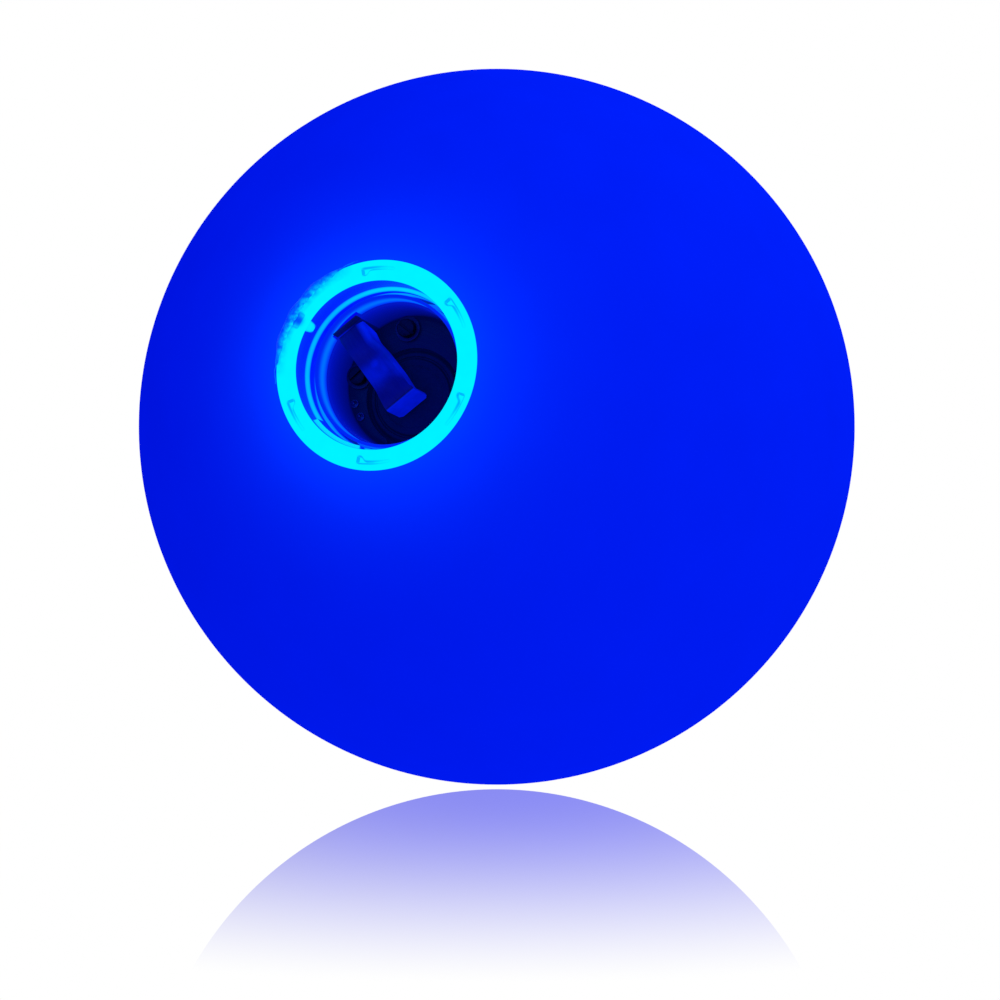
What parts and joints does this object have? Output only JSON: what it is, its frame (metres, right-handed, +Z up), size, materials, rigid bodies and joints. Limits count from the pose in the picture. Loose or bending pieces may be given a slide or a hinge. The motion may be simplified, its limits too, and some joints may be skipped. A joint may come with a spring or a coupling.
{
  "type": "light-up croquet ball",
  "caption": "Self-lit croquet ball with an open threaded port, a lift-out battery and LED module, and a sprung battery clip.",
  "frame": {"origin": "centre of the ball", "axes": "+Z up; the port faces -Y, tipped 15 degrees upwards; +X to the right seen from the port's side"},
  "size_m": [0.092, 0.092, 0.092],
  "materials": {
    "ball_plastic": "smooth translucent, lit from inside",
    "sleeve_plastic": "clear moulded, lit edge-on",
    "glue": "dried drips",
    "black_plastic": "fine moulded satin",
    "board": "solder mask",
    "clip_metal": "nickel plated",
    "cell_metal": "polished",
    "screw_metal": "blackened",
    "washer_metal": "zinc plated",
    "solder": "bright solder",
    "spring_wire": "drawn wire",
    "led_epoxy": "clear epoxy, lit",
    "dome_plastic": "frosted",
    "red_insulation": "PVC",
    "black_insulation": "PVC",
    "resistor_body": "lacquered",
    "chip_epoxy": "moulded"
  },
  "bodies": {
    "ball": {"ball_body": "ball_plastic", "socket_sleeve": "sleeve_plastic", "glue_bead": "glue"},
    "light_module": {"cup_collar": "sleeve_plastic", "battery_housing": "black_plastic", "contact_board": "board", "button_cell_1": "cell_metal", "button_cell_2": "cell_metal", "button_cell_3": "cell_metal", "contact_spring": "spring_wire", "cup_screw_left": "screw_metal", "cup_screw_right": "screw_metal", "cup_washer_left": "washer_metal", "cup_washer_right": "washer_metal", "solder_joint_positive": "solder", "solder_joint_negative": "solder", "lead_positive": "red_insulation", "lead_negative": "black_insulation", "led_board": "board", "led_1": "led_epoxy", "led_2": "led_epoxy", "led_3": "led_epoxy", "led_4": "led_epoxy", "driver_chip": "chip_epoxy", "resistor": "resistor_body", "impact_post": "solder", "diffuser_dome": "dome_plastic"},
    "battery_clip": {"battery_clip": "clip_metal"},
    "impact_spring": {"impact_spring": "spring_wire"}
  },
  "joints": [
    {"name": "module_slide", "type": "slide", "parent": "ball", "child": "light_module", "axis": [0, -0.9659, 0.2588], "range_m": [0, 0.045]},
    {"name": "clip_flex", "type": "hinge", "parent": "light_module", "child": "battery_clip", "pos_m": [-0.0063, -0.03491, 0.01484], "axis": [-0.752, -0.1706, -0.6367], "range_deg": [0, 28], "stiffness_Nm_per_rad": 0.02},
    {"name": "impact_spring_sway", "type": "hinge", "parent": "light_module", "child": "impact_spring", "pos_m": [0, -0.01276, 0.00342], "axis": [1, 0, 0], "range_deg": [-4, 4], "stiffness_Nm_per_rad": 0.0001}
  ]
}
